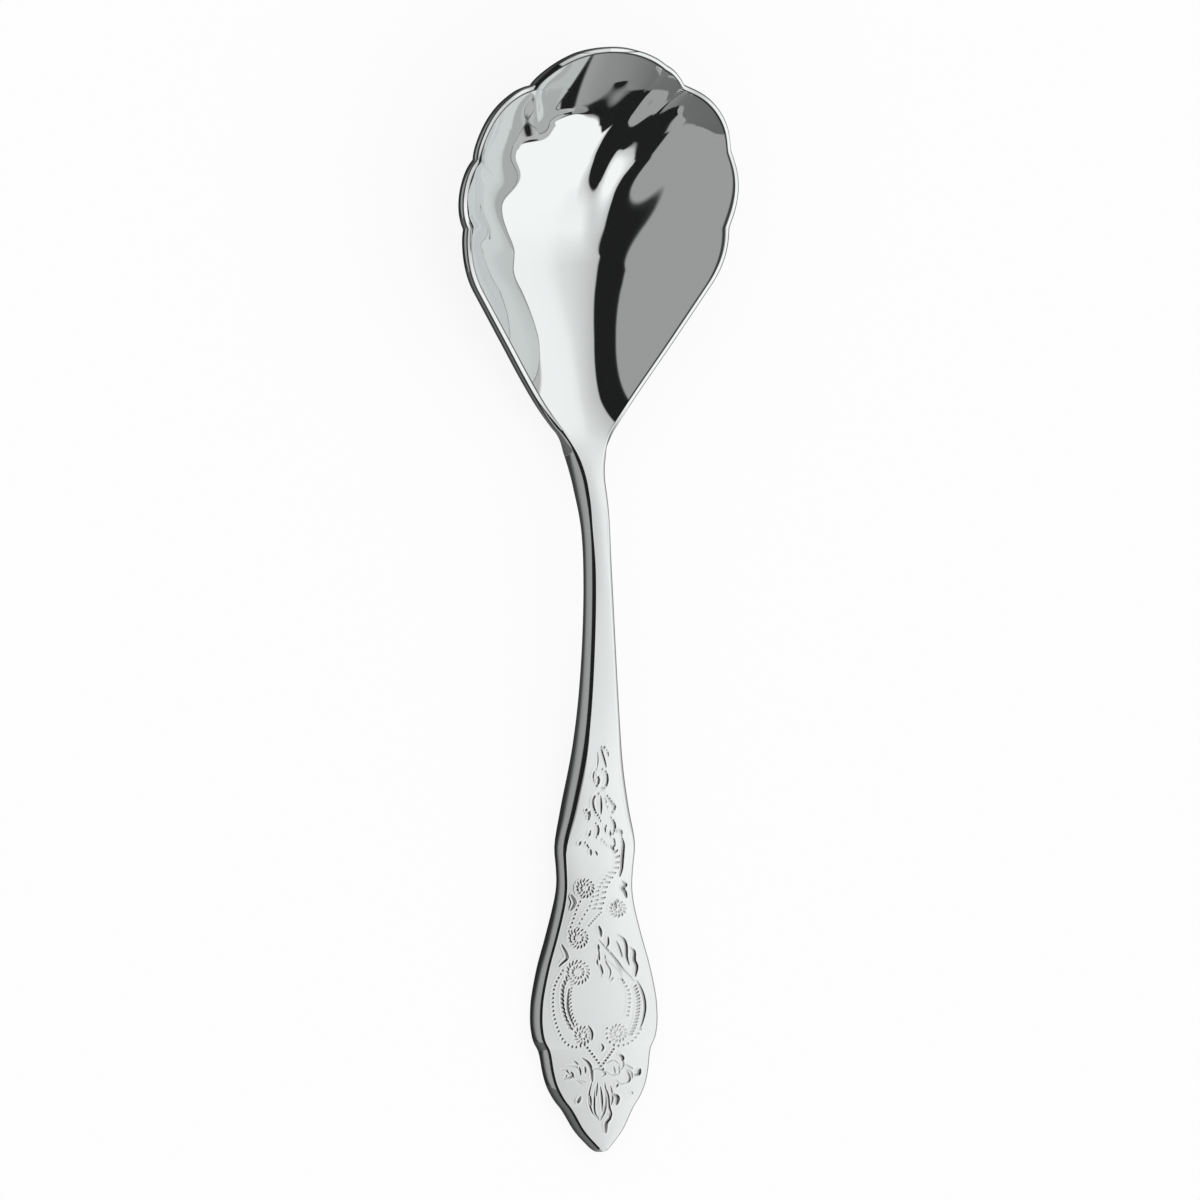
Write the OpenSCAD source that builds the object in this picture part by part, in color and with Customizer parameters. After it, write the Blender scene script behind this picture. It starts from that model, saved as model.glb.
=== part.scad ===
// Sugar spoon with a scalloped, fluted bowl, an arched shank and a flat handle with a lobed outline.
// Lengths are in millimetres. The spoon lies on the table, hollow up: +Y runs from the handle's end
// to the bowl's tip, +Z is up, and the origin is under the middle of the spoon.
// The bowl, the shank and the handle are three lengths of one loft and meet at flat cross-sections.

/* [Bowl] */
// Length of the bowl, from the neck to its tip
bowl_l = 49.2; // [44:0.1:56]
// Width of the bowl over its side lobes
bowl_w = 40.4; // [36:0.1:46]
// Depth of the hollow under the rim
bowl_depth = 9.3; // [6:0.1:12]
// Thickness of the shell at the bottom of the bowl
shell_t = 1.2; // [0.9:0.05:1.8]
// Width of the ground rim, seen from above
rim_w = 0.62; // [0.45:0.01:0.9]
// Height of the rim's outer edge
rim_t = 1.1; // [0.8:0.01:1.6]
// Bow of the bowl's side outside the straight line from the neck
side_bow = 0.3; // [0:0.05:0.6]
// Dip of the rim at the notches
notch_dip = 0.8; // [0:0.05:1]
// Height of the ridges that run in from the notches
ridge_h = 0.4; // [0.1:0.05:0.7]
// Half-width of a ridge at two thirds of its length
ridge_w = 2.6; // [1.8:0.05:3.4]

/* [Shank] */
// Length of the shank, from the handle's shoulder to the bowl
shank_l = 53.3; // [44:0.1:62]
// Width of the neck where the bowl begins
neck_w = 8.3; // [7:0.1:9.5]
// Thickness of the neck
neck_t = 3.3; // [2.6:0.05:3.8]
// Radius of the curve from the neck into the bowl's side
neck_r = 13; // [9:0.1:15]
// Width of the shank where it is slimmest
slim_w = 3.3; // [2.8:0.02:4]
// Width of the shank where the curve into the neck starts
root_w = 3.6; // [3:0.02:4.2]
// Thickness of the shank where it is slimmest
slim_t = 2.5; // [2.1:0.05:2.9]
// Thickness of the shank where it widens into the handle
flare_t = 3.35; // [2.9:0.05:3.8]
// Width of the edge bevel where the shank widens
bevel_w = 0.75; // [0.5:0.01:0.95]

/* [Handle] */
// Length of the handle, from its end to the shoulder
handle_l = 39.5; // [34:0.1:46]
// Width of the handle's widest lobe
handle_w = 17.6; // [15:0.1:20]
// Thickness of the handle at that lobe
handle_t = 2.7; // [2.2:0.05:3.2]
// Thickness of the handle at its waist
waist_t = 2.2; // [1.9:0.05:2.7]
// Thickness of the handle at its end
end_t = 1.8; // [1.4:0.05:2.2]
// Width of the small bevel round the handle
edge_w = 0.2; // [0.1:0.01:0.35]

/* [Arch] */
// Height of the handle's top face at its end
end_h = 2.65; // [2.2:0.05:3.6]
// Height of the shank's top face at the crest of the arch
crest_h = 8.1; // [6.8:0.1:9.6]
// Height of the top face at the neck
neck_h = 5.4; // [4.6:0.1:6.8]
// Height of the rim at the bowl's tip
tip_h = 15.8; // [13:0.1:19]

/* [Hidden] */

// Stations along the spoon, from the handle's end
shoulder_y = handle_l;
neck_y = shoulder_y + shank_l;
deep_share = 0.53;
deep_y = neck_y + deep_share * bowl_l;
tip_y = neck_y + bowl_l;
bowl_hw = bowl_w / 2;
front_l = tip_y - deep_y;

// The bowl's outline is made of arcs about the deepest point. Each row is a side lobe: the shares of
// the half-width to its centre, of the front length to its centre, and of the half-width in its radius.
left_lobe_shares = [[0.436, 0.374, 0.483], [0.545, 0.157, 0.446]];
right_lobe_shares = [[0.436, 0.374, 0.483], [0.564, 0.204, 0.446]];
flank_shares = [0.361, -0.043, 0.594];
front_w_share = 0.564;
front_l_share = 0.345;

// The ridges, front to back: the notch where each starts and the point in the hollow where it fades,
// as shares of the half-width (negative on the left) and of the front length, and its share of height
ridge_shares = [
    [[-0.5, 0.8], [-0.12, 0.36], 1.5],
    [[-0.939, 0.37], [-0.2, 0.14], 1.6],
    [[-0.97, 0.03], [-0.25, -0.22], 0.8],
    [[0.56, 0.77], [0, -0.04], 1.3],
    [[0.924, 0.41], [0.22, 0], 1.6],
    [[0.955, -0.01], [0.25, -0.38], 0.7]
];

// The dips of the rim at the same notches: the shares of its place, and of the dip
dip_shares = [
    [[-0.52, 0.77], 1], [[-0.93, 0.335], 0.8], [[-0.955, 0], 0.4],
    [[0.52, 0.77], 1], [[0.92, 0.43], 0.8], [[0.955, 0], 0.4]
];

// The handle's outline: the share of its length, the share of its half-width, and true at a notch
handle_shares = [
    [0, 0.02], [0.022, 0.165], [0.07, 0.37], [0.12, 0.5], [0.147, 0.572, true],
    [0.17, 0.66], [0.218, 0.775], [0.266, 0.832], [0.316, 0.865], [0.339, 0.888, true],
    [0.365, 0.958], [0.413, 1], [0.463, 1], [0.511, 0.976], [0.608, 0.875], [0.706, 0.738],
    [0.803, 0.622], [0.861, 0.588], [0.924, 0.6], [0.975, 0.622], [1, 0.632, true]
];

// The shank's outline: the share of its length, and the share of the way from slimmest to shoulder
shank_shares = [
    [0, 1], [0.041, 0.89], [0.082, 0.765], [0.122, 0.66], [0.206, 0.47], [0.29, 0.33],
    [0.412, 0.2], [0.579, 0.09], [0.745, 0.018], [0.85, 0]
];

// Curves through points: each row is a station and a value, and true where the curve has a corner
function chord(p, i) = (p[i + 1][1] - p[i][1]) / (p[i + 1][0] - p[i][0]);
function slope(p, i, side) =
    i == 0 ? chord(p, 0) :
    i == len(p) - 1 ? chord(p, i - 1) :
    p[i][2] == true ? chord(p, side < 0 ? i - 1 : i) :
    (p[i + 1][1] - p[i - 1][1]) / (p[i + 1][0] - p[i - 1][0]);
function part_of(p, y) = max([0, for (i = [0:len(p) - 2]) if (y >= p[i][0]) i]);
function curve(p, y) =
    let (i = part_of(p, y), h = p[i + 1][0] - p[i][0])
    let (t = min(max((y - p[i][0]) / h, 0), 1), a = slope(p, i, 1) * h, b = slope(p, i + 1, -1) * h)
    p[i][1] * (1 + 2 * t) * pow(1 - t, 2) + a * t * pow(1 - t, 2)
    + p[i + 1][1] * (3 - 2 * t) * pow(t, 2) - b * pow(t, 2) * (1 - t);
function mix(a, b, share) = a + (b - a) * share;
function ease(t) = t <= 0 ? 0 : t >= 1 ? 1 : t * t * (3 - 2 * t);
function total(list) = list * [for (v = list) 1];

// The flank arc of the bowl and the straight side that touches it and runs down to the neck
flank_x = flank_shares[0] * bowl_hw;
flank_y = deep_y + flank_shares[1] * front_l;
flank_r = flank_shares[2] * bowl_hw;
side_dx = flank_x - neck_w / 2;
side_dy = flank_y - neck_y;
side_a = atan2(side_dx, side_dy) + asin(flank_r / norm([side_dx, side_dy]));
touch_y = flank_y - flank_r * sin(side_a);
fillet_x = root_w / 2 + neck_r * (1 - cos(side_a));
fillet_y = neck_y - (neck_w / 2 - fillet_x) / tan(side_a);
root_y = fillet_y - neck_r * sin(side_a);

// Half-width of the bowl at a station; inset draws the outline in by the width of the rim
function arc_w(x, y, r, at) = abs(at - y) < r ? x + sqrt(r * r - pow(at - y, 2)) : 0;
function lobe_w(s, at, inset) =
    arc_w(s[0] * bowl_hw, deep_y + s[1] * front_l, s[2] * bowl_hw - inset, at);
function front_half_w(at, inset) =
    let (b = front_l_share * front_l - inset, v = (at - tip_y + front_l_share * front_l) / b)
    abs(v) < 1 ? (front_w_share * bowl_hw - inset) * sqrt(1 - v * v) : 0;
// The side bows out most in its rear third
bow_power = 0.6;
function side_share(at) = min(max((at - neck_y) / (touch_y - neck_y), 0), 1);
function bow(at) = side_bow * sin(180 * pow(side_share(at), bow_power));
function flank_half_w(at, inset) =
    at < touch_y
    ? neck_w / 2 + (at - neck_y) * tan(side_a) - inset / cos(side_a) + bow(at)
    : arc_w(flank_x, flank_y, flank_r - inset, at);
function bowl_widths(at, inset, lobes) =
    [flank_half_w(at, inset), front_half_w(at, inset), for (s = lobes) lobe_w(s, at, inset)];
function bowl_half_w(at, inset, lobes) = max(bowl_widths(at, inset, lobes));

// Half-width of the whole spoon at a station
slim_hw = slim_w / 2;
root_hw = root_w / 2;
shoulder_hw = handle_shares[len(handle_shares) - 1][1] * handle_w / 2;
handle_line = [for (s = handle_shares) [s[0] * handle_l, s[1] * handle_w / 2, s[2]]];
shank_line = [
    for (s = shank_shares) [mix(shoulder_y, root_y, s[0]), mix(slim_hw, shoulder_hw, s[1])],
    [root_y, root_hw]
];
function half_w(at, lobes) =
    at <= shoulder_y ? curve(handle_line, at) :
    at <= root_y ? curve(shank_line, at) :
    at <= fillet_y ? root_hw + neck_r - sqrt(pow(neck_r, 2) - pow(at - root_y, 2)) :
    bowl_half_w(at, 0, lobes);

// Reach of the bowl's outline from the deepest point, along a direction towards its front half
function arc_reach(c, r, u) = let (b = c * u, d = b * b - c * c + r * r) d > 0 ? b + sqrt(d) : 0;
function front_reach(u, inset) =
    let (a = front_w_share * bowl_hw - inset, b = front_l_share * front_l - inset)
    let (c = front_l - front_l_share * front_l, k = pow(u[0] / a, 2) + pow(u[1] / b, 2))
    let (m = u[1] * c / (b * b), d = m * m - k * (pow(c / b, 2) - 1))
    d > 0 ? (m + sqrt(d)) / k : 0;
function lobe_reach(s, u, inset) = arc_reach([s[0] * bowl_hw, s[1] * front_l], s[2] * bowl_hw - inset, u);
function reaches(u, inset, lobes) = [
    arc_reach([flank_x, flank_y - deep_y], flank_r - inset, u),
    front_reach(u, inset),
    for (s = lobes) lobe_reach(s, u, inset)
];

// Share of the way from the deepest point (0) to the outline (1). Along the rear half it is measured
// across the bowl, in front of it outwards from the deepest point, and the one passes softly into the
// other. Away from the rim the notches between the arcs are rounded off.
softness = 12;
crease_power = 6;
blend_share = 0.4;
function soft_max(list) =
    let (top = max(list)) top * pow(total([for (v = list) pow(max(v, 0) / top, softness)]), 1 / softness);
function share_out(r, list) =
    let (sharp = min(r / max(max(list), rim_w), 1), soft = min(r / max(soft_max(list), rim_w), 1))
    mix(soft, sharp, pow(sharp, crease_power));
function outward_across(x, at, inset, lobes) =
    at < fillet_y
    ? min(x / max(half_w(at, lobes) - inset, rim_w), 1)
    : share_out(x, bowl_widths(at, inset, lobes));
function outward_round(x, at, inset, lobes) =
    let (r = norm([x, at - deep_y]))
    r == 0 ? 0 : share_out(r, reaches([x, at - deep_y] / r, inset, lobes));
function outward(x, at, inset, lobes) =
    let (t = ease((at - deep_y) / (blend_share * front_l)))
    t == 0 ? outward_across(x, at, inset, lobes) :
    t == 1 ? outward_round(x, at, inset, lobes) :
    mix(outward_across(x, at, inset, lobes), outward_round(x, at, inset, lobes), t);

// Depth of the hollow: it opens softly, just behind the neck. Its section is round near the neck and
// flatter, with a steep wall under the rim, towards the front.
entry_l = 2;
entry_power = 1.7;
entry_wall_power = 1.8;
deep_wall_power = 2.4;
front_wall_power = 3.1;
wall_line = [
    [0, entry_wall_power], [neck_y, entry_wall_power],
    [deep_y, deep_wall_power], [tip_y, front_wall_power]
];
function opening(at) =
    at >= deep_y ? 1 :
    at <= neck_y - entry_l ? 0 :
    pow(sin(90 * (at - neck_y + entry_l) / (deep_y - neck_y + entry_l)), entry_power);
function bulge(x, at, inset, lobes) =
    opening(at) * (1 - pow(outward(x, at, inset, lobes), curve(wall_line, at)));

// Ridges between the flutes: they rise within a fifth of their length, widen inwards and fade out
ridge_start_share = 0.6;
ridge_end_share = 1.2;
ridge_rise_power = 5;
ridge_fall_power = 3;
ridge_fade_power = 1.5;
function ridge(p, from, to) =
    let (l = norm(to - from), u = (to - from) / l, s = ((p - from) * u) / l)
    s <= 0 || s >= 1 ? 0 :
    let (q = (p - from) * [u[1], -u[0]], w = ridge_w * mix(ridge_start_share, ridge_end_share, s))
    let (rise = 1 - pow(1 - s, ridge_rise_power))
    let (fall = pow(1 - pow(s, ridge_fall_power), ridge_fade_power))
    rise * fall * exp(-pow(q / w, 2));
function place(s) = [s[0] * bowl_hw, deep_y + s[1] * front_l];
function ridges(x, at) =
    at < neck_y ? 0 :
    ridge_h * total([for (r = ridge_shares) r[2] * ridge([x, at], place(r[0]), place(r[1]))]);

// Dip of the rim round the notches
dip_reach = 2.6;
function dip(x, at) =
    at < neck_y ? 0 :
    notch_dip * max([for (d = dip_shares) d[1] * exp(-pow(norm([x, at] - place(d[0])) / dip_reach, 2))]);

// Height of the top face, or of the rim. Each row is a share of the length, and the share of the way
// from one named height to the next: end to crest over the handle and the shank's rise, crest to neck
// over its fall, and neck to tip over the bowl.
handle_rise_shares = [[0, 0], [0.12, -0.014], [0.27, -0.03], [0.44, 0.012], [0.65, 0.112], [0.9, 0.262]];
shank_rise_shares = [[0.1, 0.5], [0.3, 0.79], [0.48, 0.935], [0.65, 1]];
shank_fall_shares = [[0.8, 0.1], [0.92, 0.64], [1, 0.98]];
bowl_rise_shares = [[0.08, 0.01], [0.24, 0.2], [0.5, 0.5], [0.75, 0.755], [1, 1]];
function rows(from, l, shares, a, b) = [for (s = shares) [from + s[0] * l, mix(a, b, s[1])]];
top_line = concat(
    rows(0, handle_l, handle_rise_shares, end_h, crest_h),
    rows(shoulder_y, shank_l, shank_rise_shares, end_h, crest_h),
    rows(shoulder_y, shank_l, shank_fall_shares, crest_h, neck_h),
    rows(neck_y, bowl_l, bowl_rise_shares, neck_h, tip_h)
);

// Thickness on the middle line, and at the outer edge
thick_line = [
    [0, end_t], [0.15 * handle_l, mix(end_t, handle_t, 0.5)], [0.43 * handle_l, handle_t],
    [0.65 * handle_l, mix(handle_t, flare_t, 0.4)], [0.8 * handle_l, mix(handle_t, flare_t, 0.1)],
    [0.9 * handle_l, waist_t], [shoulder_y, mix(waist_t, flare_t, 0.25)],
    [shoulder_y + 0.1 * shank_l, flare_t], [shoulder_y + 0.24 * shank_l, mix(slim_t, flare_t, 0.85)],
    [shoulder_y + 0.5 * shank_l, slim_t], [shoulder_y + 0.75 * shank_l, slim_t],
    [shoulder_y + 0.88 * shank_l, neck_t], [neck_y, neck_t],
    [neck_y + 0.12 * bowl_l, mix(shell_t, neck_t, 0.5)],
    [neck_y + 0.3 * bowl_l, shell_t], [tip_y, shell_t]
];
edge_share = 0.88;
edge_line = [
    for (p = thick_line) if (p[0] < neck_y) [p[0], p[1] * edge_share],
    [neck_y - 0.055 * shank_l, 0.75 * neck_t], [neck_y - 0.01 * shank_l, 1.1 * rim_t],
    [neck_y + 0.2 * bowl_l, rim_t], [tip_y, rim_t]
];

// Width of the edge bevel, which swells on the shank; its height is a share of its width
bevel_slope = 0.3;
rim_bevel_w = 0.1;
bevel_line = [
    [0, edge_w], [0.94 * handle_l, edge_w], [shoulder_y, 0.65 * bevel_w],
    [shoulder_y + 0.05 * shank_l, 0.95 * bevel_w], [shoulder_y + 0.12 * shank_l, bevel_w],
    [shoulder_y + 0.19 * shank_l, bevel_w], [shoulder_y + 0.3 * shank_l, 0.74 * bevel_w],
    [shoulder_y + 0.65 * shank_l, 0.7 * bevel_w], [shoulder_y + 0.76 * shank_l, 0.46 * bevel_w],
    [shoulder_y + 0.84 * shank_l, 1.2 * edge_w], [neck_y, 1.2 * edge_w],
    [neck_y + 0.1 * bowl_l, rim_bevel_w], [tip_y, rim_bevel_w]
];

// Crown of the top face, and how square the underside's edges are. The handle's back is slightly keeled,
// so that the spoon rests on its middle line.
handle_crown = 0.12;
shank_crown = 0.22;
crown_line = [
    [0, 0], [0.3 * handle_l, handle_crown], [handle_l, handle_crown],
    [shoulder_y + 0.3 * shank_l, shank_crown], [shoulder_y + 0.9 * shank_l, shank_crown],
    [neck_y, 0], [tip_y, 0]
];
keel_power = 1.3;
square_power = 5;
power_line = [
    [0, keel_power], [0.7 * handle_l, keel_power],
    [shoulder_y, square_power], [root_y, square_power],
    [neck_y + 0.15 * bowl_l, mix(entry_wall_power, deep_wall_power, 0.3)],
    [deep_y, deep_wall_power], [tip_y, front_wall_power]
];

// Heights of the top face and of the underside at a point; the underside shows the ridges too
under_ridge_share = 0.8;
function lobes_of(x) = x < 0 ? left_lobe_shares : right_lobe_shares;
function top_z(x, at) =
    let (v = outward(abs(x), at, rim_w, lobes_of(x)))
    curve(top_line, at) + curve(crown_line, at) * (1 - v * v)
    - bowl_depth * bulge(abs(x), at, rim_w, lobes_of(x)) + ridges(x, at) * opening(at) - dip(x, at);
function under_z(x, at) =
    let (v = outward(abs(x), at, 0, lobes_of(x)), edge = curve(edge_line, at))
    curve(top_line, at) - edge + under_ridge_share * ridges(x, at) * opening(at) - dip(x, at)
    - (curve(thick_line, at) - edge + bowl_depth * opening(at)) * (1 - pow(v, curve(power_line, at)));

// One cross-section: over the top from left to right, and back along the underside
columns = 20;
function section(at) =
    let (wl = half_w(at, left_lobe_shares), wr = half_w(at, right_lobe_shares), b = curve(bevel_line, at))
    let (z = curve(top_line, at), bz = b * bevel_slope, bx = min(b, wl / 3))
    let (il = inner_w(at, wl, bx, left_lobe_shares), ir = inner_w(at, wr, bx, right_lobe_shares))
    [
        [-wl, z - bz - dip(-wl, at)], [bx - wl, z - dip(-wl, at)],
        for (i = [0:columns]) let (v = sin(90 * (2 * i / columns - 1)), x = v * (v < 0 ? il : ir))
            [x, top_z(x, at)],
        [wr - bx, z - dip(wr, at)], [wr, z - bz - dip(wr, at)],
        for (i = [0:columns]) let (v = -sin(90 * (2 * i / columns - 1)), x = v * (v < 0 ? wl : wr))
            [x, under_z(x, at)]
    ];

// Half-width of the top face inside its border, or inside the rim
field_share = 0.9;
mouth_share = 0.95;
tip_share = 0.4;
function inner_w(at, w, b, lobes) =
    at < neck_y
    ? (w - b) * field_share
    : max(min(bowl_half_w(at, rim_w, lobes), (w - b) * mouth_share), w * tip_share);

// Stations of the cross-sections: each notch has one, and they close up towards both tips
function between(list, n) =
    [for (i = [0:len(list) - 2]) for (k = [0:n - 1]) mix(list[i], list[i + 1], k / n)];
handle_stations = concat(between([for (p = handle_line) p[0]], 2), [shoulder_y]);
shank_stations = [
    for (y = between([for (p = shank_line) p[0]], 3)) y,
    for (k = [0:7]) mix(root_y, neck_y, k / 7)
];
rear_steps = 24;
front_steps = 36;
last_turn = 88;
bowl_stations = [
    for (k = [0:rear_steps - 1]) mix(neck_y, deep_y, k / rear_steps),
    for (k = [0:front_steps]) deep_y + front_l * sin(last_turn * k / front_steps)
];

// The whole spoon is lowered until its underside rests on the table, and moved to stand over the origin
all_stations = concat(handle_stations, shank_stations, bowl_stations);
rest_z = min([for (y = all_stations) under_z(0, y)]);
middle_x = bowl_hw * (right_lobe_shares[1][0] - left_lobe_shares[1][0]) / 2;

module loft(stations) {
    rings = [for (y = stations) [for (p = section(y)) [p[0] - middle_x, y - tip_y / 2, p[1] - rest_z]]];
    n = len(rings[0]);
    m = len(rings);
    left_top = 2 + columns / 2;
    walls = [
        for (i = [0:m - 2]) for (j = [0:n - 1])
        let (a = i * n + j, b = i * n + (j + 1) % n, left = j < left_top || j > n - left_top)
        for (f = left ? [[a, a + n, b], [a + n, b + n, b]] : [[a, a + n, b + n], [a, b + n, b]]) f
    ];
    polyhedron(
        points = [for (r = rings) for (p = r) p],
        faces = concat([[for (j = [0:n - 1]) j]], walls, [[for (j = [0:n - 1]) m * n - 1 - j]]),
        convexity = 6
    );
}

module bowl() {
    color("silver") loft(bowl_stations);
}

module shank() {
    color("gainsboro") loft(shank_stations);
}

module handle() {
    color("silver") loft(handle_stations);
}

bowl();
shank();
handle();
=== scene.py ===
"""Polished sugar spoon with a fluted shell bowl, an arched shank and a lobed handle with struck scrolls.

Lengths are in millimetres until the meshes are made, in the frame's own directions: +Y from the handle's
end to the bowl's tip, +X to the right and +Z up. Stations along the spoon are counted from the handle's end.
"""
import math

import bpy
import numpy as np
from mathutils import Matrix, Vector


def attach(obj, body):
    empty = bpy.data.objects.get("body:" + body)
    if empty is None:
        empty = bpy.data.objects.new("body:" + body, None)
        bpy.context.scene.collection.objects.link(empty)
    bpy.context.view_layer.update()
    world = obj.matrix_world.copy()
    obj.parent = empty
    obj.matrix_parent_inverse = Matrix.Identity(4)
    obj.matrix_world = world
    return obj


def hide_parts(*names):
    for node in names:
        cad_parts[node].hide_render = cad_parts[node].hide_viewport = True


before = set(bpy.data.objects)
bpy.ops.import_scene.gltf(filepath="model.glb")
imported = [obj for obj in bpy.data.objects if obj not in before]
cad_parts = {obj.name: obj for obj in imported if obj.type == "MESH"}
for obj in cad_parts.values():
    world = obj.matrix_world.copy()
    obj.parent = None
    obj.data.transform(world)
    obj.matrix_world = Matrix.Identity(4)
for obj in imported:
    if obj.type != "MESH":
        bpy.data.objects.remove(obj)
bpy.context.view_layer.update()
MM = 0.001
TINY = 1e-9

# The photograph: its size and scale in pixels, and how the camera stood, fitted to the spoon's outline
PHOTO_PX = 1200
PX_PER_MM = 7.763
ORIGIN_PX = (575.1, 601.0)     # where the frame's origin is seen
VIEW_TURN = 28.0               # degrees to the left of straight above
VIEW_TILT = 4.46               # degrees from the spoon's length to the line that the picture shows upright
LENS, SENSOR = 1200.0, 36.0    # millimetres
CLIP_NEAR, CLIP_FAR = 0.1, 100    # metres


def view_axes():
    """Right, up and towards the camera, as unit vectors in the frame."""
    turn, tilt = math.radians(VIEW_TURN), math.radians(VIEW_TILT)
    back = np.array([-math.sin(turn), 0, math.cos(turn)])
    along = np.array([0, math.cos(tilt), math.sin(tilt)])
    up = along - back * (along @ back)
    up /= np.linalg.norm(up)
    return np.cross(up, back), up, back


RIGHT, UP, BACK = view_axes()


def make_camera():
    """A camera far off with a long lens, moved sideways so that the origin is seen at ORIGIN_PX."""
    shift_x = (PHOTO_PX / 2 - ORIGIN_PX[0]) / PX_PER_MM
    shift_y = (ORIGIN_PX[1] - PHOTO_PX / 2) / PX_PER_MM
    distance = PHOTO_PX / PX_PER_MM / SENSOR * LENS
    stand = (RIGHT * shift_x + UP * shift_y + BACK * distance) * MM
    data = bpy.data.cameras.new("camera")
    data.lens, data.sensor_width = LENS, SENSOR
    data.clip_start, data.clip_end = CLIP_NEAR, CLIP_FAR
    camera = bpy.data.objects.new("camera", data)
    turned = Matrix([[RIGHT[i], UP[i], BACK[i]] for i in range(3)]).to_4x4()
    camera.matrix_world = Matrix.Translation(Vector(stand)) @ turned
    bpy.context.scene.collection.objects.link(camera)
    bpy.context.scene.camera = camera


make_camera()

# Sizes of the spoon in millimetres: L is a length, W a width, T a thickness, H a height and R a radius
BOWL_L, BOWL_W, BOWL_DEPTH, SHELL_T = 49.2, 40.4, 9.3, 1.2
RIM_W, RIM_T, SIDE_BOW, NOTCH_DIP = 0.7, 1.1, 0.25, 0.8
RIDGE_H, RIDGE_W = 0.4, 2.6
SHANK_L, NECK_W, NECK_T, NECK_R = 53.3, 8.3, 3.3, 13.0
SLIM_W, ROOT_W, SLIM_T, FLARE_T, BEVEL_W = 3.3, 3.6, 2.5, 3.35, 0.75
HANDLE_L, HANDLE_W, HANDLE_T, WAIST_T, END_T, EDGE_W = 39.5, 17.6, 2.7, 2.2, 1.8, 0.4
END_H, CREST_H, NECK_H, TIP_H = 2.65, 8.1, 5.4, 15.8

# Stations along the spoon
DEEP_SHARE = 0.53
SHOULDER_Y = HANDLE_L
NECK_Y = SHOULDER_Y + SHANK_L
DEEP_Y = NECK_Y + DEEP_SHARE * BOWL_L
TIP_Y = NECK_Y + BOWL_L
BOWL_HW = BOWL_W / 2
FRONT_L = TIP_Y - DEEP_Y

# The arcs of the bowl's outline, about the deepest point and fitted to the photograph. For each side lobe:
# the shares of the half-width to its centre, of the front length to its centre, and of the half-width in
# its radius. Then the flank's arc in the same way, and the half-axes of the front's.
LOBES = {
    -1: [(0.451, 0.408, 0.455), (0.644, 0.18, 0.361)],
    1: [(0.401, 0.326, 0.545), (0.347, 0.175, 0.648), (0.279, 0.603, 0.357)],
}
FLANK = (0.361, -0.043, 0.594)
FRONT_W_SHARE, FRONT_L_SHARE = 0.591, 0.373
# The ridges between the flutes: the places where each starts and fades, and its shares of the height and
# the width, all fitted to the shapes that the photograph shows mirrored in the bowl
RIDGES = [
    ((-0.604, 0.784), (-0.043, 0.237), 1.23, 1), ((-0.892, 0.368), (0.074, 0.271), 1.66, 1.29),
    ((-0.96, 0.037), (-0.211, -0.228), 0.81, 1), ((0.604, 0.925), (-0.017, -0.042), 1.65, 1.04),
    ((0.725, 0.554), (0.274, -0.17), 2.21, 1.6), ((0.935, -0.036), (0.523, -0.428), 0.6, 0.94),
    ((-0.71, 0.723), (-0.289, 0.306), -0.1, 0.81), ((0.246, 0.618), (0.19, -0.215), 0.38, 0.62),
    ((0.605, 0.614), (0.23, 0.231), 0.58, 0.85), ((-0.103, 0.667), (-0.105, 0.582), -0.35, 0.92),
    ((0.172, 0.812), (0.204, 0.581), 0.53, 0.98),
]
# The dips of the rim at the notches: the place of each, and its share of the depth
DIPS = [
    ((-0.524, 0.8), 1), ((-0.905, 0.398), 0.8), ((-0.951, 0.014), 0.4),
    ((0.576, 0.777), 1), ((0.938, 0.405), 0.8), ((0.954, -0.02), 0.4),
]
# The handle's outline: the share of its length, the share of its half-width, and True at a notch
HANDLE_SHARES = [
    (0, 0.02), (0.003, 0.062), (0.009, 0.108), (0.022, 0.175), (0.07, 0.37), (0.12, 0.5),
    (0.147, 0.572, True), (0.17, 0.66), (0.218, 0.775), (0.266, 0.832), (0.316, 0.865), (0.339, 0.888, True),
    (0.365, 0.958), (0.413, 1), (0.463, 1), (0.511, 0.976), (0.608, 0.875), (0.706, 0.738),
    (0.803, 0.622), (0.861, 0.588), (0.924, 0.6), (0.975, 0.622), (1, 0.632, True),
]
# The shank's outline: the share of its length, and the share of the way from slimmest to shoulder
SHANK_SHARES = [
    (0, 1), (0.041, 0.89), (0.082, 0.765), (0.122, 0.66), (0.206, 0.47), (0.29, 0.33),
    (0.412, 0.2), (0.579, 0.09), (0.745, 0.018), (0.85, 0),
]


def mix(a, b, share):
    return a + (b - a) * share


def smooth_step(t):
    t = np.clip(t, 0, 1)
    return t * t * (3 - 2 * t)


def curve(rows, at):
    """Values at the stations in at of a smooth curve through rows of (station, value, True at a corner)."""
    x = np.array([r[0] for r in rows], float)
    v = np.array([r[1] for r in rows], float)
    chord = np.diff(v) / np.diff(x)
    middle = (v[2:] - v[:-2]) / (x[2:] - x[:-2])
    before = np.r_[chord[0], middle, chord[-1]]
    after = before.copy()
    for i, row in enumerate(rows):
        if len(row) > 2 and 0 < i < len(rows) - 1:
            before[i], after[i] = chord[i - 1], chord[i]
    i = np.clip(np.searchsorted(x, at, side="right") - 1, 0, len(rows) - 2)
    h = x[i + 1] - x[i]
    t = np.clip((at - x[i]) / h, 0, 1)
    start = v[i] * (1 + 2 * t) * (1 - t) ** 2 + after[i] * h * t * (1 - t) ** 2
    return start + v[i + 1] * (3 - 2 * t) * t**2 - before[i + 1] * h * t**2 * (1 - t)


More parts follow.
